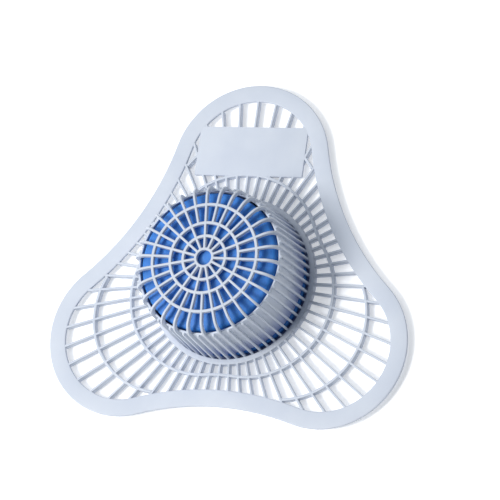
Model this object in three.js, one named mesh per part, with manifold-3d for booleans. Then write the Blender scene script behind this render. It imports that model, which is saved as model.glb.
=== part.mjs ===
// Urinal deodorizer screen: a three-lobed moulded lattice with a drum-shaped cage in the middle,
// and the round deodorant block that the cage holds. Millimetres, +Z up, resting on z = 0.
// One lobe points along +Y, and the origin is the middle of the bottom of the whole object.

import * as THREE from "three";
import { mergeVertices } from "three/addons/utils/BufferGeometryUtils.js";
import Module from "manifold-3d";

const wasm = await Module();
wasm.setup();

// Flange outline: three lobe arcs joined by three shallow valley arcs
const LOBE_COUNT = 3;
const LOBE_REACH = 60;
const LOBE_RADIUS = 41;
const VALLEY_RADIUS = 138;
const LOBE_STEPS = 14;
const VALLEY_STEPS = 6;

// Rim, ribs and rings of the flange
const RIM_WIDTH = 8.6;
const RIM_THICKNESS = 1.8;
const LATTICE_DEPTH = 4;
const RIB_COUNT = 60;
const RIB_WIDTH = 1.2;
const RIB_FOOT_WIDTH = 0.9;
const RING_WIDTH = 1.4;

// The wavy ring near the drum follows an outline of its own
const WAVY_RING_REACH = 13.2;
const WAVY_RING_LOBE_RADIUS = 41.2;
const WAVY_RING_VALLEY_RADIUS = 80;

// The arc across each lobe
const LOBE_ARC_REACH = 35.3;
const LOBE_ARC_RADIUS = 40.2;
const LOBE_ARC_STEPS = 12;

// Blank label plate in the lobe on +Y
const PLATE_WIDTH = 57;
const PLATE_LENGTH = 25.5;
const PLATE_NEAR_EDGE = 53.5;
const PLATE_THICKNESS = 1.6;

// Cage
const CAGE_HEIGHT = 42.6;
const SHOULDER_RADIUS = 7;
const FIN_TOP_RADIUS = 37.5;
const FIN_FOOT_INSET = 2.3;
const FIN_FOOT_HEIGHT = 2;
const FIN_WEB = 1.2;
const BASE_RING_RADIUS = 42.3;
const BASE_RING_WIDTH = 2.7;
const SPOKE_WIDTH = 1.2;
const SPOKE_DEPTH = 2.2;
const FIN_COUNT = RIB_COUNT;
const OUTER_SPOKE_EVERY = 2;
const FULL_SPOKE_EVERY = 4;
const HUB_HOLE_RADIUS = 3.7;
const HUB_RADIUS = 5;
const SMALL_RING_RADIUS = 10.75;
const MIDDLE_RING_RADIUS = 17.3;
const LARGE_RING_RADIUS = 26.4;
const SHOULDER_STEPS = 4;

// Wall behind the fins, with open windows between its lower edge and the base ring
const WALL_TOP_RADIUS = 36.1;
const WALL_FOOT_INSET = 4.5;
const WALL_THICKNESS = 1;
const WALL_TOP_DROP = 6.6;
const WINDOW_HEIGHT = 2.5;

// Ledge inside the base ring that the block sits on, thin enough to let it be pushed in from below
const LEDGE_WIDTH = 3.2;
const LEDGE_THICKNESS = 1.5;

// Deodorant block
const BLOCK_TOP_CLEARANCE = 0.5;
const BLOCK_WALL_CLEARANCE = 0.8;
const BLOCK_SEAT_CLEARANCE = 0.3;
const BLOCK_DOME_DROP = 3.2;
const BLOCK_SHOULDER_RADIUS = 2;
const BLOCK_FOOT_EDGE = 0.6;
const DOME_STEPS = 6;

// How far a piece of the moulding runs into the one that carries it
const FUSE = 0.6;

// Finest step kept between two faces that should be level, and between two corners that should meet
const FLAT_TOLERANCE = 1e-3;
const WELD_TOLERANCE = 1e-5;

const FULL_TURN = 2 * Math.PI;
const QUARTER_TURN = Math.PI / 2;
const RIB_PITCH = FULL_TURN / RIB_COUNT;
const FLANGE_CENTRE_Y = LOBE_REACH * (1 - Math.cos(Math.PI / LOBE_COUNT)) / 2;

const screenPlastic = new THREE.MeshStandardMaterial({
  color: 0xd2dbe6,
  roughness: 0.45,
  metalness: 0,
});
const blockCake = new THREE.MeshStandardMaterial({
  color: 0x2a62b8,
  roughness: 0.6,
  metalness: 0,
});

// Solids and geometry

function toSolid(geometry) {
  const bare = geometry.clone();
  bare.deleteAttribute("normal");
  bare.deleteAttribute("uv");
  const merged = mergeVertices(bare, WELD_TOLERANCE);
  const mesh = new wasm.Mesh({
    numProp: 3,
    vertProperties: new Float32Array(merged.attributes.position.array),
    triVerts: new Uint32Array(merged.index.array),
  });
  return new wasm.Manifold(mesh);
}

function toGeometry(solid) {
  const mesh = solid.getMesh();
  const geometry = new THREE.BufferGeometry();
  geometry.setAttribute("position", new THREE.BufferAttribute(mesh.vertProperties, 3));
  geometry.setIndex(new THREE.BufferAttribute(mesh.triVerts, 1));
  geometry.computeVertexNormals();
  return geometry;
}

// One solid from many, with the faces that end up level with each other merged
function joinAll(solids) {
  return solids.reduce((whole, next) => whole.add(next)).asOriginal().simplify(FLAT_TOLERANCE);
}

// A flat outline pushed up from z = bottom
function slab(shape, bottom, height) {
  const geometry = new THREE.ExtrudeGeometry(shape, { depth: height, bevelEnabled: false });
  geometry.translate(0, 0, bottom);
  return toSolid(geometry);
}

// A ring turned about +Z, each of its corners in line with a rib
function ringSolid(profile, segments) {
  const closed = [...profile, profile[0]];
  const geometry = new THREE.LatheGeometry(closed, segments, 0, FULL_TURN);
  geometry.rotateX(QUARTER_TURN);
  return toSolid(geometry);
}

function squareRing(innerRadius, outerRadius, bottom, top, segments) {
  return ringSolid([
    new THREE.Vector2(innerRadius, bottom),
    new THREE.Vector2(outerRadius, bottom),
    new THREE.Vector2(outerRadius, top),
    new THREE.Vector2(innerRadius, top),
  ], segments);
}

// A profile in the plane of radius and height, given a thickness across that plane
function radialPlate(shape, thickness, angle, curveSegments) {
  const geometry = new THREE.ExtrudeGeometry(shape, {
    depth: thickness,
    bevelEnabled: false,
    curveSegments,
  });
  geometry.translate(0, 0, -thickness / 2);
  geometry.rotateX(QUARTER_TURN);
  geometry.rotateZ(angle);
  return toSolid(geometry);
}

// Outlines

function arcPoints(centre, radius, from, to, steps) {
  const points = [];
  for (let i = 0; i <= steps; i += 1) {
    const angle = from + (to - from) * i / steps;
    points.push(new THREE.Vector2(
      centre.x + radius * Math.cos(angle),
      centre.y + radius * Math.sin(angle),
    ));
  }
  return points;
}

// Distance from the axis to a valley arc's centre, on the line between two lobes, where the arcs touch
function valleyCentreDistance(reach, lobeRadius, valleyRadius) {
  const half = reach * Math.cos(Math.PI / LOBE_COUNT);
  const span = lobeRadius + valleyRadius;
  return half + Math.sqrt(half * half - reach * reach + span * span);
}

function polar(distance, angle) {
  return new THREE.Vector2(distance * Math.cos(angle), distance * Math.sin(angle));
}

// The three-lobed outline, moved inwards by an inset that leaves the arc centres where they are
function lobedOutline(reach, lobeRadius, valleyRadius, inset) {
  const valleyDistance = valleyCentreDistance(reach, lobeRadius, valleyRadius);
  const lobeStep = FULL_TURN / LOBE_COUNT;
  const valleyAtOrigin = polar(valleyDistance, lobeStep / 2);
  const touch = Math.atan2(valleyAtOrigin.y, valleyAtOrigin.x - reach);
  const points = [];
  for (let i = 0; i < LOBE_COUNT; i += 1) {
    const axis = QUARTER_TURN + i * lobeStep;
    const lobeCentre = polar(reach, axis);
    points.push(...arcPoints(lobeCentre, lobeRadius - inset, axis - touch, axis + touch, LOBE_STEPS));
    points.pop();
    const valleyCentre = polar(valleyDistance, axis + lobeStep / 2);
    const from = axis + touch + Math.PI;
    const to = axis + lobeStep - touch + Math.PI;
    points.push(...arcPoints(valleyCentre, valleyRadius + inset, from, to, VALLEY_STEPS));
    points.pop();
  }
  return points;
}

// Radius of the three-lobed outline in one direction
function lobedRadius(angle, reach, lobeRadius, valleyRadius, inset) {
  const lobeStep = FULL_TURN / LOBE_COUNT;
  const turned = angle - QUARTER_TURN;
  const offAxis = Math.abs(turned - lobeStep * Math.round(turned / lobeStep));
  const valleyDistance = valleyCentreDistance(reach, lobeRadius, valleyRadius);
  const touchAt = new THREE.Vector2(reach, 0).lerp(
    polar(valleyDistance, lobeStep / 2),
    (lobeRadius - inset) / (lobeRadius + valleyRadius),
  );
  if (offAxis < touchAt.angle()) {
    return reach * Math.cos(offAxis)
      + Math.sqrt((lobeRadius - inset) ** 2 - (reach * Math.sin(offAxis)) ** 2);
  }
  const offValley = lobeStep / 2 - offAxis;
  return valleyDistance * Math.cos(offValley)
    - Math.sqrt((valleyRadius + inset) ** 2 - (valleyDistance * Math.sin(offValley)) ** 2);
}

function rimInnerRadius(angle) {
  return lobedRadius(angle, LOBE_REACH, LOBE_RADIUS, VALLEY_RADIUS, RIM_WIDTH);
}

// Flange

function rim() {
  const shape = new THREE.Shape(lobedOutline(LOBE_REACH, LOBE_RADIUS, VALLEY_RADIUS, 0));
  shape.holes.push(new THREE.Path(lobedOutline(LOBE_REACH, LOBE_RADIUS, VALLEY_RADIUS, RIM_WIDTH)));
  return slab(shape, LATTICE_DEPTH - RIM_THICKNESS, RIM_THICKNESS);
}

function flangeRib(angle) {
  const start = BASE_RING_RADIUS - FUSE;
  const end = rimInnerRadius(angle) + FUSE;
  const section = new THREE.Shape([
    new THREE.Vector2(-RIB_FOOT_WIDTH / 2, 0),
    new THREE.Vector2(RIB_FOOT_WIDTH / 2, 0),
    new THREE.Vector2(RIB_WIDTH / 2, LATTICE_DEPTH),
    new THREE.Vector2(-RIB_WIDTH / 2, LATTICE_DEPTH),
  ]);
  const geometry = new THREE.ExtrudeGeometry(section, { depth: end - start, bevelEnabled: false });
  geometry.translate(0, 0, start);
  geometry.rotateX(QUARTER_TURN);
  geometry.rotateZ(QUARTER_TURN);
  geometry.rotateZ(angle);
  return toSolid(geometry);
}

function wavyRing() {
  const shape = new THREE.Shape(lobedOutline(
    WAVY_RING_REACH,
    WAVY_RING_LOBE_RADIUS,
    WAVY_RING_VALLEY_RADIUS,
    -RING_WIDTH / 2,
  ));
  shape.holes.push(new THREE.Path(lobedOutline(
    WAVY_RING_REACH,
    WAVY_RING_LOBE_RADIUS,
    WAVY_RING_VALLEY_RADIUS,
    RING_WIDTH / 2,
  )));
  return slab(shape, 0, LATTICE_DEPTH);
}

// Half the angle that the lobe arc spans until it runs into the rim
function lobeArcHalfAngle() {
  const gap = LOBE_REACH - LOBE_ARC_REACH;
  const rimRadius = LOBE_RADIUS - RIM_WIDTH + FUSE;
  const along = (gap * gap + LOBE_ARC_RADIUS * LOBE_ARC_RADIUS - rimRadius * rimRadius) / (2 * gap);
  return Math.acos(along / LOBE_ARC_RADIUS);
}

function lobeArc(axis) {
  const centre = polar(LOBE_ARC_REACH, axis);
  const half = lobeArcHalfAngle();
  const outer = arcPoints(centre, LOBE_ARC_RADIUS + RING_WIDTH / 2, axis - half, axis + half, LOBE_ARC_STEPS);
  const inner = arcPoints(centre, LOBE_ARC_RADIUS - RING_WIDTH / 2, axis + half, axis - half, LOBE_ARC_STEPS);
  return slab(new THREE.Shape([...outer, ...inner]), 0, LATTICE_DEPTH);
}

function labelPlate() {
  const half = PLATE_WIDTH / 2;
  const far = PLATE_NEAR_EDGE + PLATE_LENGTH;
  const shape = new THREE.Shape([
    new THREE.Vector2(-half, PLATE_NEAR_EDGE),
    new THREE.Vector2(half, PLATE_NEAR_EDGE),
    new THREE.Vector2(half, far),
    new THREE.Vector2(-half, far),
  ]);
  return slab(shape, LATTICE_DEPTH - PLATE_THICKNESS, PLATE_THICKNESS);
}

function flangeParts() {
  const parts = [rim(), wavyRing(), labelPlate()];
  for (let i = 0; i < LOBE_COUNT; i += 1) {
    parts.push(lobeArc(QUARTER_TURN + i * FULL_TURN / LOBE_COUNT));
  }
  for (let i = 0; i < RIB_COUNT; i += 1) {
    parts.push(flangeRib(QUARTER_TURN + i * RIB_PITCH));
  }
  return parts;
}

// Cage

const SHOULDER_CENTRE = new THREE.Vector2(
  FIN_TOP_RADIUS - SHOULDER_RADIUS,
  CAGE_HEIGHT - SHOULDER_RADIUS,
);
const FIN_FOOT_RADIUS = BASE_RING_RADIUS - FIN_FOOT_INSET;
const WALL_FOOT_RADIUS = BASE_RING_RADIUS - WALL_FOOT_INSET;
const WALL_TOP = CAGE_HEIGHT - WALL_TOP_DROP;
const WALL_BOTTOM = LATTICE_DEPTH + WINDOW_HEIGHT;

// Where an arc about the shoulder's centre reaches a radius, or its outermost point if it falls short
function shoulderAngle(arcRadius, radius) {
  return Math.acos(Math.min(1, (radius - SHOULDER_CENTRE.x) / arcRadius));
}

// Radius of a fin's outer edge at one height
function finRadius(z) {
  const slope = (FIN_FOOT_RADIUS - FIN_TOP_RADIUS) / (SHOULDER_CENTRE.y - FIN_FOOT_HEIGHT);
  return FIN_TOP_RADIUS + (SHOULDER_CENTRE.y - z) * slope;
}

// Radius of the wall's outer face at one height
function wallRadius(z) {
  const slope = (WALL_FOOT_RADIUS - WALL_TOP_RADIUS) / (WALL_TOP - LATTICE_DEPTH);
  return WALL_TOP_RADIUS + (WALL_TOP - z) * slope;
}

function wallMiddle(z) {
  return wallRadius(z) - WALL_THICKNESS / 2;
}

function wall() {
  return ringSolid([
    new THREE.Vector2(wallRadius(WALL_BOTTOM) - WALL_THICKNESS, WALL_BOTTOM),
    new THREE.Vector2(wallRadius(WALL_BOTTOM), WALL_BOTTOM),
    new THREE.Vector2(wallRadius(WALL_TOP), WALL_TOP),
    new THREE.Vector2(wallRadius(WALL_TOP) - WALL_THICKNESS, WALL_TOP),
  ], RIB_COUNT);
}

// The fins cross the windows as thin webs, clear of the foot of the block, which widens below the wall
const FIN_INNER_RADIUS = finRadius(WALL_BOTTOM) - FIN_WEB;

// The line down the inside of a fin, from the wall to the base ring
function finInside(shape) {
  shape.lineTo(FIN_FOOT_RADIUS, FIN_FOOT_HEIGHT);
  shape.lineTo(FIN_INNER_RADIUS, FIN_FOOT_HEIGHT);
  shape.lineTo(FIN_INNER_RADIUS, WALL_BOTTOM);
  shape.lineTo(wallMiddle(WALL_BOTTOM), WALL_BOTTOM);
}

// A spoke that runs over the rounded shoulder and down the side as a fin
function spokeAndFin(angle, innerRadius) {
  const underRadius = SHOULDER_RADIUS - SPOKE_DEPTH;
  const underAngle = shoulderAngle(underRadius, wallMiddle(WALL_TOP));
  const shape = new THREE.Shape();
  shape.moveTo(innerRadius, CAGE_HEIGHT);
  shape.lineTo(SHOULDER_CENTRE.x, CAGE_HEIGHT);
  shape.absarc(SHOULDER_CENTRE.x, SHOULDER_CENTRE.y, SHOULDER_RADIUS, QUARTER_TURN, 0, true);
  finInside(shape);
  shape.absarc(SHOULDER_CENTRE.x, SHOULDER_CENTRE.y, underRadius, underAngle, QUARTER_TURN, false);
  shape.lineTo(innerRadius, CAGE_HEIGHT - SPOKE_DEPTH);
  return radialPlate(shape, SPOKE_WIDTH, angle, SHOULDER_STEPS / 2);
}

// A fin between two spokes, its rounded top starting level with the top of the wall
function fin(angle) {
  const start = wallRadius(WALL_TOP);
  const roundness = finRadius(WALL_TOP) - start;
  const shape = new THREE.Shape();
  shape.moveTo(wallMiddle(WALL_TOP), WALL_TOP);
  shape.absarc(start, WALL_TOP - roundness, roundness, QUARTER_TURN, 0, true);
  finInside(shape);
  return radialPlate(shape, SPOKE_WIDTH, angle, SHOULDER_STEPS / 2);
}

function topRing(radius, segments) {
  return squareRing(
    radius - RING_WIDTH / 2,
    radius + RING_WIDTH / 2,
    CAGE_HEIGHT - SPOKE_DEPTH,
    CAGE_HEIGHT,
    segments,
  );
}

// The ring that the fins stand on, with its ledge for the block
function baseRing() {
  const inner = BASE_RING_RADIUS - BASE_RING_WIDTH;
  return ringSolid([
    new THREE.Vector2(inner - LEDGE_WIDTH, 0),
    new THREE.Vector2(BASE_RING_RADIUS, 0),
    new THREE.Vector2(BASE_RING_RADIUS, LATTICE_DEPTH),
    new THREE.Vector2(inner, LATTICE_DEPTH),
    new THREE.Vector2(inner, LEDGE_THICKNESS),
    new THREE.Vector2(inner - LEDGE_WIDTH, LEDGE_THICKNESS),
  ], RIB_COUNT);
}

function cageParts() {
  const parts = [
    squareRing(HUB_HOLE_RADIUS, HUB_RADIUS, CAGE_HEIGHT - SPOKE_DEPTH, CAGE_HEIGHT, RIB_COUNT / 2),
    topRing(SMALL_RING_RADIUS, RIB_COUNT / 2),
    topRing(MIDDLE_RING_RADIUS, RIB_COUNT),
    topRing(LARGE_RING_RADIUS, RIB_COUNT),
    baseRing(),
    wall(),
  ];
  const firstSpoke = QUARTER_TURN + RIB_PITCH;
  for (let i = 0; i < FIN_COUNT; i += 1) {
    const angle = firstSpoke + i * RIB_PITCH;
    if (i % FULL_SPOKE_EVERY === 0) {
      parts.push(spokeAndFin(angle, HUB_RADIUS - FUSE));
    } else if (i % OUTER_SPOKE_EVERY === 0) {
      parts.push(spokeAndFin(angle, MIDDLE_RING_RADIUS));
    } else {
      parts.push(fin(angle));
    }
  }
  return parts;
}

function makeScreen() {
  const solid = joinAll([...cageParts(), ...flangeParts()]);
  const mesh = new THREE.Mesh(toGeometry(solid), screenPlastic);
  mesh.name = "screen";
  return mesh;
}

// Deodorant block: a domed cake on a wider foot, which sits on the ledge and fills the windows below
// the wall

// The block's top: a shallow dome that turns down into the side through a small round shoulder
function blockCrown(side, top) {
  const domeRadius = (side * side + BLOCK_DOME_DROP * BLOCK_DOME_DROP) / (2 * BLOCK_DOME_DROP);
  const domeCentre = new THREE.Vector2(0, top - domeRadius);
  const reach = domeRadius - BLOCK_SHOULDER_RADIUS;
  const lean = Math.acos((side - BLOCK_SHOULDER_RADIUS) / reach);
  const shoulderCentre = polar(reach, lean).add(domeCentre);
  const dome = arcPoints(domeCentre, domeRadius, lean, QUARTER_TURN, DOME_STEPS);
  dome[DOME_STEPS].x = 0;
  return [
    ...arcPoints(shoulderCentre, BLOCK_SHOULDER_RADIUS, 0, lean, SHOULDER_STEPS).slice(0, -1),
    ...dome,
  ];
}

function makeBlock() {
  const top = CAGE_HEIGHT - SPOKE_DEPTH - BLOCK_TOP_CLEARANCE;
  const bottom = LEDGE_THICKNESS + BLOCK_SEAT_CLEARANCE;
  const footTop = WALL_BOTTOM - BLOCK_SEAT_CLEARANCE;
  const footRadius = FIN_INNER_RADIUS - BLOCK_SEAT_CLEARANCE;
  const sideRadius = (z) => wallRadius(z) - WALL_THICKNESS - BLOCK_WALL_CLEARANCE;
  const profile = [
    new THREE.Vector2(0, bottom),
    new THREE.Vector2(footRadius - BLOCK_FOOT_EDGE, bottom),
    new THREE.Vector2(footRadius, bottom + BLOCK_FOOT_EDGE),
    new THREE.Vector2(footRadius, footTop - BLOCK_FOOT_EDGE),
    new THREE.Vector2(footRadius - BLOCK_FOOT_EDGE, footTop),
    new THREE.Vector2(sideRadius(footTop), footTop),
    ...blockCrown(sideRadius(WALL_TOP), top),
  ];
  const geometry = new THREE.LatheGeometry(profile, RIB_COUNT);
  geometry.rotateX(QUARTER_TURN);
  const mesh = new THREE.Mesh(toGeometry(toSolid(geometry)), blockCake);
  mesh.name = "deodorant_block";
  return mesh;
}

const deodorizerScreen = new THREE.Group();
deodorizerScreen.add(makeScreen(), makeBlock());
deodorizerScreen.position.y = -FLANGE_CENTRE_Y;

export default deodorizerScreen;
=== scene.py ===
import math

import bmesh
import bpy
from mathutils import Matrix, Vector, noise


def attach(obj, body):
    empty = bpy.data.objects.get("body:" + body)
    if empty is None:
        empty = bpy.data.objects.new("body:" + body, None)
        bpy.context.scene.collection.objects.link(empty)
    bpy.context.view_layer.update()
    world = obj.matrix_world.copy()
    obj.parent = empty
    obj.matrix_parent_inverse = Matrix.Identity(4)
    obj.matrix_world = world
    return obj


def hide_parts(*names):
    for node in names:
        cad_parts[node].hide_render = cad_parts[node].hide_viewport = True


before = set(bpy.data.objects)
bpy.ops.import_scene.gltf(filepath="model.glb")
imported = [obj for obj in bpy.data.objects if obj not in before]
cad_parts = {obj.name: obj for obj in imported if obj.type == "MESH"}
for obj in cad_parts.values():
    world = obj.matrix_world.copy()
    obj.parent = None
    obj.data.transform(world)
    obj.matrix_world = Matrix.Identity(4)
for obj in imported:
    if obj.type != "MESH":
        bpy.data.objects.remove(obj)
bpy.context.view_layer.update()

MM = 0.001
QUARTER_TURN = math.pi / 2
FULL_TURN = 2 * math.pi

# Sizes in millimetres, as in the part's source
LOBE_COUNT = 3
LOBE_REACH = 60
LOBE_RADIUS = 41
VALLEY_RADIUS = 138
LOBE_STEPS = 40
VALLEY_STEPS = 14
RIM_WIDTH = 8.6
RIM_THICKNESS = 1.8
LATTICE_DEPTH = 4
RIB_COUNT = 60
RIB_WIDTH = 1.2
RIB_FOOT_WIDTH = 0.9
RING_WIDTH = 1.4
WAVY_RING_REACH = 13.2
WAVY_RING_LOBE_RADIUS = 41.2
WAVY_RING_VALLEY_RADIUS = 80
LOBE_ARC_REACH = 35.3
LOBE_ARC_RADIUS = 40.2
LOBE_ARC_STEPS = 40
PLATE_WIDTH = 57
PLATE_LENGTH = 25.5
PLATE_NEAR_EDGE = 53.5
PLATE_THICKNESS = 1.6
CAGE_HEIGHT = 42.6
SHOULDER_RADIUS = 7
FIN_TOP_RADIUS = 37.5
FIN_FOOT_INSET = 2.3
FIN_FOOT_HEIGHT = 2
FIN_WEB = 1.2
BASE_RING_RADIUS = 42.3
BASE_RING_WIDTH = 2.7
SPOKE_WIDTH = 1.2
SPOKE_DEPTH = 2.2
OUTER_SPOKE_EVERY = 2
FULL_SPOKE_EVERY = 4
HUB_HOLE_RADIUS = 3.7
HUB_RADIUS = 5
SMALL_RING_RADIUS = 10.75
MIDDLE_RING_RADIUS = 17.3
LARGE_RING_RADIUS = 26.4
WALL_TOP_RADIUS = 36.1
WALL_FOOT_INSET = 4.5
WALL_THICKNESS = 1
WALL_TOP_DROP = 6.6
WINDOW_HEIGHT = 2.5
LEDGE_WIDTH = 3.2
LEDGE_THICKNESS = 1.5
BLOCK_TOP_CLEARANCE = 0.5
BLOCK_WALL_CLEARANCE = 0.8
BLOCK_SEAT_CLEARANCE = 0.3
BLOCK_DOME_DROP = 3.2
BLOCK_SHOULDER_RADIUS = 2
BLOCK_FOOT_EDGE = 0.6
FUSE = 0.6

# Radii and heights that follow from them
RIB_PITCH = FULL_TURN / RIB_COUNT
FLANGE_CENTRE_Y = LOBE_REACH * (1 - math.cos(math.pi / LOBE_COUNT)) / 2
FIN_FOOT_RADIUS = BASE_RING_RADIUS - FIN_FOOT_INSET
WALL_TOP = CAGE_HEIGHT - WALL_TOP_DROP
WALL_BOTTOM = LATTICE_DEPTH + WINDOW_HEIGHT
WALL_FOOT_RADIUS = BASE_RING_RADIUS - WALL_FOOT_INSET
SHOULDER_X = FIN_TOP_RADIUS - SHOULDER_RADIUS
SHOULDER_Z = CAGE_HEIGHT - SHOULDER_RADIUS

# Roundings and draft of the moulding, in millimetres. A rounding takes less than half of an edge
SOFT_EDGE = 0.3
RIM_EDGE = 0.6
EDGE_DIVISOR = 2.2
SIDE_DRAFT = 0.1
RIM_DRAFT = 0.15
FIN_END_SHARE = 0.9
WEB_STEP = 0.05

# Bars that cross are set this far apart in height, so that no two faces lie level
LEVEL_STEP = 0.03

# How finely curves are drawn
CORNER_STEPS = 4
RING_STEPS = 180
SHOULDER_STEPS = 10
BLOCK_STEPS = 240
BLOCK_SIDE_STEPS = 12
BLOCK_FOOT_SHARES = (0.001, 0.3, 0.6, 1)
DOME_STEPS = 24
DOME_HOLE_RADIUS = 0.02

# The block's surface dips below its true shape, by up to twice this share of its size
UNEVENNESS = 0.003
UNEVENNESS_SCALE = 0.35

# Edges sharper than this many degrees stay sharp
SCREEN_SHARP_ANGLE = 38
BLOCK_SHARP_ANGLE = 50

# Colours. The foot of the cage wall gets painted shade, a dark blue for the blue-tinted shadow there,
# up to a share of its height
PLASTIC_SHADE = (0.585, 0.635, 0.73)
PLASTIC_PALE = (0.65, 0.695, 0.775)
CAKE_SHADE = (0.022, 0.18, 0.56)
CAKE_PALE = (0.055, 0.25, 0.71)
PAINTED_SHADE_COLOUR = (0.13, 0.21, 0.58)
PAINTED_SHADE_AMOUNT = 0.62
PAINTED_SHADE_HEIGHT_SHARE = 0.55
PAPER_SHADE = (0.885, 0.885, 0.885)
PAPER_PALE = (0.905, 0.905, 0.905)
PAPER_LIGHT = 0.36
SKY_COLOUR = (0.82, 0.9, 1)
SKY_STRENGTH = 0.24
FLOOR_SIZE = 6

# Camera: fitted to the photograph. The image is 500 pixels each way, the sensor 36 mm wide
IMAGE_SIZE = 500
SENSOR_WIDTH = 36
FOCAL_PIXELS = 2406
CAMERA_DISTANCE = 1.17
CAMERA_TILT = math.radians(26.7)
CAMERA_AZIMUTH = math.radians(-33.6)
CAMERA_ROLL = math.radians(8.6)
TARGET_PIXEL = (232.2, 280.4)


def polar(distance, angle):
    return Vector((distance * math.cos(angle), distance * math.sin(angle)))


def rounded(corners, radius):
    """A closed outline with each of its corners turned into a short curve of about that radius."""
    points = []
    for i, corner in enumerate(corners):
        before = corners[i - 1] - corner
        after = corners[(i + 1) % len(corners)] - corner
        reach = min(radius, before.length / EDGE_DIVISOR, after.length / EDGE_DIVISOR)
        start = corner + before.normalized() * reach
        end = corner + after.normalized() * reach
        for step in range(CORNER_STEPS + 1):
            t = step / CORNER_STEPS
            points.append(start * (1 - t) ** 2 + corner * 2 * t * (1 - t) + end * t ** 2)
    return points


def box_section(half_top, half_foot, foot, top, radius):
    """Section of a bar as (across, height) points."""
    corners = [
        Vector((-half_foot, foot)),
        Vector((half_foot, foot)),
        Vector((half_top, top)),
        Vector((-half_top, top)),
    ]
    return rounded(corners, radius)


def skin(bm, loops, closed):
    """Joins loops of equal length with faces, and closes the ends where the run is open."""
    rows = [[bm.verts.new(point) for point in loop] for loop in loops]
    count = len(rows)
    for i in range(count if closed else count - 1):
        here, there = rows[i], rows[(i + 1) % count]
        for j in range(len(here)):
            k = (j + 1) % len(here)
            bm.faces.new((here[j], here[k], there[k], there[j]))
    if not closed:
        bm.faces.new(reversed(rows[0]))
        bm.faces.new(rows[-1])


def sweep(bm, path, section, closed):
    """Runs a section along a level path of (point, outward direction)."""
    loops = []
    for point, outward in path:
        loops.append([
            Vector((point.x + outward.x * across, point.y + outward.y * across, height))
            for across, height in section
        ])
    skin(bm, loops, closed)


def turned(bm, corners, radius):
    """A ring turned about the axis from a section of (radius, height) corners."""
    section = rounded([Vector(corner) for corner in corners], radius)
    axis = Vector((0, 0))
    path = [(axis, polar(1, i * FULL_TURN / RING_STEPS)) for i in range(RING_STEPS)]
    sweep(bm, path, section, True)


def valley_distance(reach, lobe_radius, valley_radius):
    """How far from the middle the centre of a valley's curve lies, so that it touches both lobes."""
    half = reach * math.cos(math.pi / LOBE_COUNT)
    span = lobe_radius + valley_radius
    return half + math.sqrt(half * half - reach * reach + span * span)


def lobed_path(reach, lobe_radius, valley_radius):
    """The three-lobed outline as (point, outward direction)."""
    distance = valley_distance(reach, lobe_radius, valley_radius)
    lobe_step = FULL_TURN / LOBE_COUNT
    valley = polar(distance, lobe_step / 2)
    touch = math.atan2(valley.y, valley.x - reach)
    path = []
    for i in range(LOBE_COUNT):
        axis = QUARTER_TURN + i * lobe_step
        for step in range(LOBE_STEPS):
            angle = axis + touch * (2 * step / LOBE_STEPS - 1)
            path.append((polar(reach, axis) + polar(lobe_radius, angle), polar(1, angle)))
        sweep_angle = lobe_step - 2 * touch
        for step in range(VALLEY_STEPS):
            angle = axis + touch + math.pi + sweep_angle * step / VALLEY_STEPS
            centre = polar(distance, axis + lobe_step / 2)
            path.append((centre + polar(valley_radius, angle), -polar(1, angle)))
    return path


def lobed_radius(angle, reach, lobe_radius, valley_radius):
    """How far out the three-lobed outline lies in one direction."""
    lobe_step = FULL_TURN / LOBE_COUNT
    turned_by = angle - QUARTER_TURN
    off_axis = abs(turned_by - lobe_step * round(turned_by / lobe_step))
    distance = valley_distance(reach, lobe_radius, valley_radius)
    share = lobe_radius / (lobe_radius + valley_radius)
    touch_at = Vector((reach, 0)).lerp(polar(distance, lobe_step / 2), share)
    if off_axis < math.atan2(touch_at.y, touch_at.x):
        across = reach * math.sin(off_axis)
        return reach * math.cos(off_axis) + math.sqrt(lobe_radius ** 2 - across ** 2)
    off_valley = lobe_step / 2 - off_axis
    across = distance * math.sin(off_valley)
    return distance * math.cos(off_valley) - math.sqrt(valley_radius ** 2 - across ** 2)


def rim(bm):
    half = RIM_WIDTH / 2
    foot = LATTICE_DEPTH - RIM_THICKNESS
    section = box_section(half, half - RIM_DRAFT, foot, LATTICE_DEPTH, RIM_EDGE)
    sweep(bm, lobed_path(LOBE_REACH, LOBE_RADIUS - half, VALLEY_RADIUS + half), section, True)


def flange_ribs(bm):
    foot = 2 * LEVEL_STEP
    section = box_section(RIB_WIDTH / 2, RIB_FOOT_WIDTH / 2, foot, LATTICE_DEPTH - foot, SOFT_EDGE)
    for i in range(RIB_COUNT):
        angle = QUARTER_TURN + i * RIB_PITCH
        rim_edge = lobed_radius(angle, LOBE_REACH, LOBE_RADIUS - RIM_WIDTH, VALLEY_RADIUS + RIM_WIDTH)
        across = polar(1, angle + QUARTER_TURN)
        ends = [polar(BASE_RING_RADIUS - FUSE, angle), polar(rim_edge + FUSE, angle)]
        sweep(bm, [(end, across) for end in ends], section, False)


def flange_rings(bm):
    half = RING_WIDTH / 2
    top = LATTICE_DEPTH - LEVEL_STEP
    section = box_section(half, half - SIDE_DRAFT, LEVEL_STEP, top, SOFT_EDGE)
    wave = lobed_path(WAVY_RING_REACH, WAVY_RING_LOBE_RADIUS, WAVY_RING_VALLEY_RADIUS)
    sweep(bm, wave, section, True)
    gap = LOBE_REACH - LOBE_ARC_REACH
    rim_radius = LOBE_RADIUS - RIM_WIDTH + FUSE
    along = (gap ** 2 + LOBE_ARC_RADIUS ** 2 - rim_radius ** 2) / (2 * gap)
    half_angle = math.acos(along / LOBE_ARC_RADIUS)
    for i in range(LOBE_COUNT):
        axis = QUARTER_TURN + i * FULL_TURN / LOBE_COUNT
        centre = polar(LOBE_ARC_REACH, axis)
        path = []
        for step in range(LOBE_ARC_STEPS + 1):
            angle = axis + half_angle * (2 * step / LOBE_ARC_STEPS - 1)
            path.append((centre + polar(LOBE_ARC_RADIUS, angle), polar(1, angle)))
        sweep(bm, path, section, False)


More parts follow.
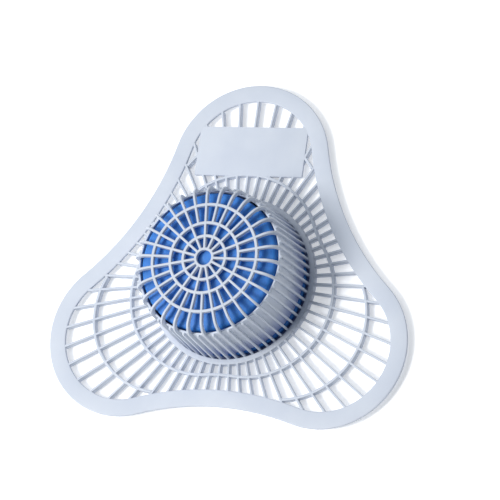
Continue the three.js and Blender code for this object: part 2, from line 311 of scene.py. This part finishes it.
def label_plate(bm):
    """The blank plate. Its far edge runs into the rim, and its near edge is rounded."""
    half = PLATE_WIDTH / 2
    foot = LATTICE_DEPTH - PLATE_THICKNESS
    top = LATTICE_DEPTH - LEVEL_STEP / 2
    loops = []
    for y, inset in (
        (PLATE_NEAR_EDGE, SOFT_EDGE),
        (PLATE_NEAR_EDGE + SOFT_EDGE, 0),
        (PLATE_NEAR_EDGE + PLATE_LENGTH, 0),
    ):
        side = half - inset
        section = box_section(side, side - SIDE_DRAFT, foot + inset, top - inset, SOFT_EDGE)
        loops.append([Vector((x, y, z)) for x, z in section])
    skin(bm, loops, False)


def wall_radius(z):
    slope = (WALL_FOOT_RADIUS - WALL_TOP_RADIUS) / (WALL_TOP - LATTICE_DEPTH)
    return WALL_TOP_RADIUS + (WALL_TOP - z) * slope


def fin_radius(z):
    """Outer line of the fins below the shoulder."""
    slope = (FIN_FOOT_RADIUS - FIN_TOP_RADIUS) / (SHOULDER_Z - FIN_FOOT_HEIGHT)
    return FIN_TOP_RADIUS + (SHOULDER_Z - z) * slope


def fin_inner_radius():
    return fin_radius(WALL_BOTTOM) - FIN_WEB


def fin_side():
    """Stations down the side of the cage: (outer point, inner point) as (radius, height)."""
    stations = []
    for height, inner_radius in (
        (WALL_BOTTOM + WEB_STEP, wall_radius(WALL_BOTTOM) - WALL_THICKNESS / 2),
        (WALL_BOTTOM, fin_inner_radius()),
        (FIN_FOOT_HEIGHT, fin_inner_radius()),
    ):
        stations.append((Vector((fin_radius(height), height)), Vector((inner_radius, height))))
    return stations


def spoke_stations(start_radius):
    """Stations of a fin that runs on over the shoulder as a spoke."""
    under = SHOULDER_RADIUS - SPOKE_DEPTH
    corner = Vector((SHOULDER_X, SHOULDER_Z))
    start = Vector((start_radius, CAGE_HEIGHT))
    stations = [(start, start - Vector((0, SPOKE_DEPTH)))]
    for step in range(SHOULDER_STEPS + 1):
        turn = QUARTER_TURN * (1 - step / SHOULDER_STEPS)
        stations.append((corner + polar(SHOULDER_RADIUS, turn), corner + polar(under, turn)))
    return stations + fin_side()


def fin_stations():
    """Stations of a fin that ends with a rounded top, level with the top of the wall."""
    start = wall_radius(WALL_TOP)
    middle = start - WALL_THICKNESS / 2
    reach = fin_radius(WALL_TOP) - start
    stations = []
    for step in range(CORNER_STEPS + 1):
        turn = QUARTER_TURN * (1 - FIN_END_SHARE * step / CORNER_STEPS)
        outer = Vector((start + reach * math.cos(turn), WALL_TOP - reach * (1 - math.sin(turn))))
        stations.append((outer, Vector((middle, outer.y - SOFT_EDGE))))
    return stations + fin_side()


def radial_blade(bm, stations, angle):
    """A spoke or fin: stations in the plane of radius and height, with a rounded outer edge."""
    half = SPOKE_WIDTH / 2
    across = polar(1, angle + QUARTER_TURN)
    outward = polar(1, angle)
    corner = []
    for step in range(CORNER_STEPS + 1):
        turn = QUARTER_TURN * step / CORNER_STEPS
        corner.append((SOFT_EDGE * (1 - math.sin(turn)), half - SOFT_EDGE * (1 - math.cos(turn))))
    loops = []
    for outer, inner in stations:
        inwards = (inner - outer).normalized()
        section = [(inner, -half)]
        section += [(outer + inwards * depth, -side) for depth, side in corner]
        section += [(outer + inwards * depth, side) for depth, side in reversed(corner)]
        section.append((inner, half))
        loops.append([
            Vector((outward.x * p.x + across.x * side, outward.y * p.x + across.y * side, p.y))
            for p, side in section
        ])
    skin(bm, loops, False)


def spokes_and_fins(bm):
    for i in range(RIB_COUNT):
        angle = QUARTER_TURN + (i + 1) * RIB_PITCH
        if i % FULL_SPOKE_EVERY == 0:
            radial_blade(bm, spoke_stations(HUB_RADIUS - FUSE), angle)
        elif i % OUTER_SPOKE_EVERY == 0:
            radial_blade(bm, spoke_stations(MIDDLE_RING_RADIUS), angle)
        else:
            radial_blade(bm, fin_stations(), angle)


def top_rings(bm):
    low, high = CAGE_HEIGHT - SPOKE_DEPTH + LEVEL_STEP, CAGE_HEIGHT - LEVEL_STEP
    half = RING_WIDTH / 2
    spans = [(HUB_HOLE_RADIUS, HUB_RADIUS)]
    for radius in (SMALL_RING_RADIUS, MIDDLE_RING_RADIUS, LARGE_RING_RADIUS):
        spans.append((radius - half, radius + half))
    for inner, outer in spans:
        turned(bm, [(inner, low), (outer, low), (outer, high), (inner, high)], SOFT_EDGE)


def cage_wall(bm):
    turned(bm, [
        (wall_radius(WALL_BOTTOM) - WALL_THICKNESS, WALL_BOTTOM),
        (wall_radius(WALL_BOTTOM), WALL_BOTTOM),
        (wall_radius(WALL_TOP), WALL_TOP),
        (wall_radius(WALL_TOP) - WALL_THICKNESS, WALL_TOP),
    ], SOFT_EDGE)


def base_ring(bm):
    inner = BASE_RING_RADIUS - BASE_RING_WIDTH
    turned(bm, [
        (inner - LEDGE_WIDTH, 0),
        (BASE_RING_RADIUS, 0),
        (BASE_RING_RADIUS, LATTICE_DEPTH),
        (inner, LATTICE_DEPTH),
        (inner, LEDGE_THICKNESS),
        (inner - LEDGE_WIDTH, LEDGE_THICKNESS),
    ], SOFT_EDGE)


def deodorant_cake(bm):
    """The pressed block: a slightly uneven surface turned about the axis."""
    top = CAGE_HEIGHT - SPOKE_DEPTH - BLOCK_TOP_CLEARANCE
    bottom = LEDGE_THICKNESS + BLOCK_SEAT_CLEARANCE
    foot_top = WALL_BOTTOM - BLOCK_SEAT_CLEARANCE
    foot_radius = fin_inner_radius() - BLOCK_SEAT_CLEARANCE
    side = wall_radius(WALL_TOP) - WALL_THICKNESS - BLOCK_WALL_CLEARANCE
    side_foot = wall_radius(foot_top) - WALL_THICKNESS - BLOCK_WALL_CLEARANCE
    dome_radius = (side ** 2 + BLOCK_DOME_DROP ** 2) / (2 * BLOCK_DOME_DROP)
    dome = Vector((0, top - dome_radius))
    lean = math.acos((side - BLOCK_SHOULDER_RADIUS) / (dome_radius - BLOCK_SHOULDER_RADIUS))
    shoulder = dome + polar(dome_radius - BLOCK_SHOULDER_RADIUS, lean)
    edge = BLOCK_FOOT_EDGE
    profile = [Vector((share * (foot_radius - edge), bottom)) for share in BLOCK_FOOT_SHARES]
    profile.append(Vector((foot_radius, bottom + edge)))
    profile.append(Vector((foot_radius, foot_top - edge)))
    profile.append(Vector((foot_radius - edge, foot_top)))
    side_start = Vector((side_foot, foot_top))
    side_end = Vector((side, shoulder.y))
    for step in range(BLOCK_SIDE_STEPS):
        profile.append(side_start.lerp(side_end, step / BLOCK_SIDE_STEPS))
    for step in range(SHOULDER_STEPS):
        profile.append(shoulder + polar(BLOCK_SHOULDER_RADIUS, lean * step / SHOULDER_STEPS))
    for step in range(DOME_STEPS):
        profile.append(dome + polar(dome_radius, lean + (QUARTER_TURN - lean) * step / DOME_STEPS))
    profile.append(Vector((DOME_HOLE_RADIUS, top)))
    rows = []
    for i in range(BLOCK_STEPS):
        direction = polar(1, i * FULL_TURN / BLOCK_STEPS)
        row = []
        for point in profile:
            place = Vector((direction.x * point.x, direction.y * point.x, point.y))
            dip = UNEVENNESS * (1 - noise.noise(place * UNEVENNESS_SCALE))
            row.append(bm.verts.new(place * (1 - dip)))
        rows.append(row)
    for i in range(BLOCK_STEPS):
        here, there = rows[i], rows[(i + 1) % BLOCK_STEPS]
        for j in range(len(profile) - 1):
            bm.faces.new((here[j], there[j], there[j + 1], here[j + 1]))
    bm.faces.new([row[0] for row in reversed(rows)])
    bm.faces.new([row[-1] for row in rows])


def make_piece(name, builders, sharp_angle):
    """Builds one visible piece in millimetres, then brings it to the frame's place and metres."""
    bm = bmesh.new()
    for builder in builders:
        builder(bm)
    bmesh.ops.translate(bm, verts=bm.verts, vec=(0, -FLANGE_CENTRE_Y, 0))
    bmesh.ops.scale(bm, verts=bm.verts, vec=(MM, MM, MM))
    bmesh.ops.recalc_face_normals(bm, faces=bm.faces)
    mesh = bpy.data.meshes.new(name)
    bm.to_mesh(mesh)
    bm.free()
    mesh.shade_smooth()
    mesh.set_sharp_from_angle(angle=math.radians(sharp_angle))
    piece = bpy.data.objects.new(name, mesh)
    bpy.context.collection.objects.link(piece)
    return piece


def new_material(name):
    material = bpy.data.materials.new(name)
    material.use_nodes = True
    nodes = material.node_tree.nodes
    return material, nodes, material.node_tree.links, nodes["Principled BSDF"]


def noise_node(nodes, links, coordinates, scale, detail):
    texture = nodes.new("ShaderNodeTexNoise")
    texture.inputs["Scale"].default_value = scale
    texture.inputs["Detail"].default_value = detail
    links.new(coordinates, texture.inputs["Vector"])
    return texture.outputs["Fac"]


def ramp_node(nodes, links, source, start, start_colour, end, end_colour):
    ramp = nodes.new("ShaderNodeValToRGB")
    first, last = ramp.color_ramp.elements
    first.position = start
    first.color = (*start_colour, 1)
    last.position = end
    last.color = (*end_colour, 1)
    links.new(source, ramp.inputs["Fac"])
    return ramp.outputs["Color"]


def bump_node(nodes, links, height, distance, before=None):
    bump = nodes.new("ShaderNodeBump")
    bump.inputs["Strength"].default_value = 1
    bump.inputs["Distance"].default_value = distance
    links.new(height, bump.inputs["Height"])
    if before is not None:
        links.new(before, bump.inputs["Normal"])
    return bump.outputs["Normal"]


def range_node(nodes, links, source, low, high, start=0, end=1):
    spread = nodes.new("ShaderNodeMapRange")
    spread.inputs["From Min"].default_value = start
    spread.inputs["From Max"].default_value = end
    spread.inputs["To Min"].default_value = low
    spread.inputs["To Max"].default_value = high
    links.new(source, spread.inputs["Value"])
    return spread.outputs["Result"]


def painted_foot_shade(nodes, links, place):
    """How much painted blue shade darkens the wall: most at its foot, none on the fins."""
    from_axis = nodes.new("ShaderNodeVectorMath")
    from_axis.inputs[1].default_value = (0, FLANGE_CENTRE_Y * MM, 0)
    links.new(place, from_axis.inputs[0])
    parts = nodes.new("ShaderNodeSeparateXYZ")
    links.new(from_axis.outputs["Vector"], parts.inputs["Vector"])
    flat = nodes.new("ShaderNodeCombineXYZ")
    links.new(parts.outputs["X"], flat.inputs["X"])
    links.new(parts.outputs["Y"], flat.inputs["Y"])
    radius = nodes.new("ShaderNodeVectorMath")
    radius.operation = "LENGTH"
    links.new(flat.outputs["Vector"], radius.inputs[0])
    inward = range_node(
        nodes, links, radius.outputs["Value"], low=1, high=0,
        start=(WALL_FOOT_RADIUS + SOFT_EDGE) * MM, end=(FIN_FOOT_RADIUS - 2 * SOFT_EDGE) * MM,
    )
    height = range_node(
        nodes, links, parts.outputs["Z"], low=PAINTED_SHADE_AMOUNT, high=0,
        start=WALL_BOTTOM * MM, end=WALL_TOP * PAINTED_SHADE_HEIGHT_SHARE * MM,
    )
    both = nodes.new("ShaderNodeMath")
    both.operation = "MULTIPLY"
    links.new(inward, both.inputs[0])
    links.new(height, both.inputs[1])
    return both.outputs["Value"]


def moulded_plastic():
    """Pale blue-grey soft plastic with a satin mould texture, and painted blue shade at the foot of the
    cage wall.
    """
    material, nodes, links, shader = new_material("screen_plastic")
    place = nodes.new("ShaderNodeTexCoord").outputs["Object"]
    cloud = noise_node(nodes, links, place, scale=45, detail=3)
    grain = noise_node(nodes, links, place, scale=2600, detail=2)
    flow = noise_node(nodes, links, place, scale=260, detail=4)
    colour = ramp_node(nodes, links, cloud, 0.3, PLASTIC_SHADE, 0.7, PLASTIC_PALE)
    # Painted shade: the wall's foot is mixed towards a dark blue that stands in for blue-tinted shadow
    foot_shade_mix = nodes.new("ShaderNodeMixRGB")
    foot_shade_mix.inputs["Color2"].default_value = (*PAINTED_SHADE_COLOUR, 1)
    links.new(painted_foot_shade(nodes, links, place), foot_shade_mix.inputs["Fac"])
    links.new(colour, foot_shade_mix.inputs["Color1"])
    links.new(foot_shade_mix.outputs["Color"], shader.inputs["Base Color"])
    links.new(range_node(nodes, links, flow, low=0.36, high=0.56), shader.inputs["Roughness"])
    soft = bump_node(nodes, links, flow, distance=0.00004)
    fine = bump_node(nodes, links, grain, distance=0.000012, before=soft)
    links.new(fine, shader.inputs["Normal"])
    shader.inputs["IOR"].default_value = 1.5
    return material


def waxy_cake():
    """Saturated blue pressed cake: mottled, dull and slightly pitted."""
    material, nodes, links, shader = new_material("deodorant_cake")
    place = nodes.new("ShaderNodeTexCoord").outputs["Object"]
    mottle = noise_node(nodes, links, place, scale=120, detail=5)
    grit = noise_node(nodes, links, place, scale=900, detail=6)
    colour = ramp_node(nodes, links, mottle, 0.32, CAKE_SHADE, 0.7, CAKE_PALE)
    links.new(colour, shader.inputs["Base Color"])
    links.new(range_node(nodes, links, grit, low=0.45, high=0.75), shader.inputs["Roughness"])
    uneven = bump_node(nodes, links, mottle, distance=0.0002)
    pitted = bump_node(nodes, links, grit, distance=0.00008, before=uneven)
    links.new(pitted, shader.inputs["Normal"])
    shader.inputs["Subsurface Weight"].default_value = 0.25
    shader.inputs["Subsurface Radius"].default_value = (0.2, 0.5, 1.0)
    shader.inputs["Subsurface Scale"].default_value = 0.002
    return material


def floor_paper():
    """White paper with a little light of its own, so that thin shadows stay faint as in the photo."""
    material, nodes, links, shader = new_material("floor_paper")
    place = nodes.new("ShaderNodeTexCoord").outputs["Object"]
    fibre = noise_node(nodes, links, place, scale=400, detail=3)
    colour = ramp_node(nodes, links, fibre, 0.3, PAPER_SHADE, 0.7, PAPER_PALE)
    links.new(colour, shader.inputs["Base Color"])
    shader.inputs["Roughness"].default_value = 0.9
    shader.inputs["Emission Color"].default_value = (1, 1, 1, 1)
    shader.inputs["Emission Strength"].default_value = PAPER_LIGHT
    return material


def make_floor():
    bpy.ops.mesh.primitive_plane_add(size=FLOOR_SIZE, location=(0, 0, 0))
    floor = bpy.context.object
    floor.name = "floor"
    floor.data.materials.append(floor_paper())


def aim(holder, position, target, up):
    """Puts a light or camera at a place, looking at a target."""
    back = (position - target).normalized()
    side = up.cross(back).normalized()
    turn = Matrix((side, back.cross(side), back)).transposed().to_4x4()
    holder.matrix_world = Matrix.Translation(position) @ turn


def area_light(name, position, size, power, colour):
    """A round soft light aimed at the origin. As it is round, which way is up for it doesn't matter."""
    data = bpy.data.lights.new(name, "AREA")
    data.shape = "DISK"
    data.size = size
    data.energy = power
    data.color = colour
    light = bpy.data.objects.new(name, data)
    bpy.context.collection.objects.link(light)
    aim(light, Vector(position), Vector((0, 0, 0)), Vector((0, 1, 0.001)))


def make_lights():
    world = bpy.data.worlds.new("studio")
    world.use_nodes = True
    background = world.node_tree.nodes["Background"]
    background.inputs["Color"].default_value = (*SKY_COLOUR, 1)
    background.inputs["Strength"].default_value = SKY_STRENGTH
    bpy.context.scene.world = world
    area_light("key", position=(-1.17, -0.61, 1.79), size=0.8, power=37, colour=(1, 0.99, 0.975))
    area_light("top", position=(-0.8, 0.53, 2.08), size=1.5, power=15, colour=(0.94, 0.97, 1))


def make_camera():
    centre = Vector((0, -FLANGE_CENTRE_Y, LATTICE_DEPTH)) * MM
    out = Vector((
        math.sin(CAMERA_TILT) * math.cos(CAMERA_AZIMUTH),
        math.sin(CAMERA_TILT) * math.sin(CAMERA_AZIMUTH),
        math.cos(CAMERA_TILT),
    ))
    data = bpy.data.cameras.new("camera")
    data.sensor_width = SENSOR_WIDTH
    data.lens = FOCAL_PIXELS / IMAGE_SIZE * SENSOR_WIDTH
    data.shift_x = (IMAGE_SIZE / 2 - TARGET_PIXEL[0]) / IMAGE_SIZE
    data.shift_y = (TARGET_PIXEL[1] - IMAGE_SIZE / 2) / IMAGE_SIZE
    camera = bpy.data.objects.new("camera", data)
    bpy.context.collection.objects.link(camera)
    up = Vector((-math.sin(CAMERA_ROLL), math.cos(CAMERA_ROLL), 0))
    aim(camera, centre + out * CAMERA_DISTANCE, centre, up)
    bpy.context.scene.camera = camera


screen = make_piece(
    "moulded_screen",
    [rim, flange_ribs, flange_rings, label_plate, spokes_and_fins, top_rings, cage_wall, base_ring],
    SCREEN_SHARP_ANGLE,
)
screen.data.materials.append(moulded_plastic())
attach(screen, "root")
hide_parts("screen")

cake = make_piece("deodorant_cake", [deodorant_cake], BLOCK_SHARP_ANGLE)
cake.data.materials.append(waxy_cake())
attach(cake, "root")
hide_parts("deodorant_block")

make_floor()
make_lights()
make_camera()
bpy.context.scene.view_settings.view_transform = "Standard"
